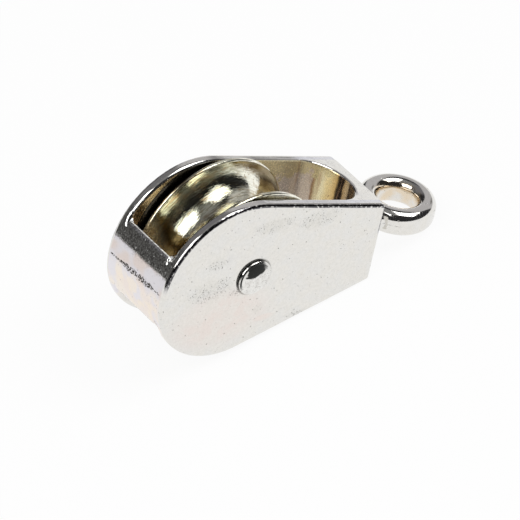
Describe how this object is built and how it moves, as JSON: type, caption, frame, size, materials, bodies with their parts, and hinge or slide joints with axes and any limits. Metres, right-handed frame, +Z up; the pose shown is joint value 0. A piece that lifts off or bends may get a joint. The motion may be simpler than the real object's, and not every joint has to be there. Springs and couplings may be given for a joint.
{
  "type": "single pulley block with fixed eye",
  "caption": "Single pulley block: cast frame with a fixed eye, grooved sheave turning on a riveted axle.",
  "frame": {"origin": "centre of the sheave, on the axle at mid width", "axes": "+Y along the axle, +X towards the eye, +Z up as the block lies on a bench on its sheave rims and the lower corners of its end face; the centre line falls 16.6 degrees towards the eye"},
  "size_m": [0.0773, 0.023, 0.0396],
  "materials": {
    "plated_frame": "bright nickel plate",
    "brass_sheave": "polished",
    "plated_rivet": "plated steel"
  },
  "bodies": {
    "block": {"frame": "plated_frame", "axle_rivet": "plated_rivet"},
    "sheave": {"sheave": "brass_sheave"}
  },
  "joints": [
    {"name": "sheave_spin", "type": "hinge", "parent": "block", "child": "sheave", "pos_m": [0, 0, 0], "axis": [0, 1, 0], "continuous": true}
  ]
}
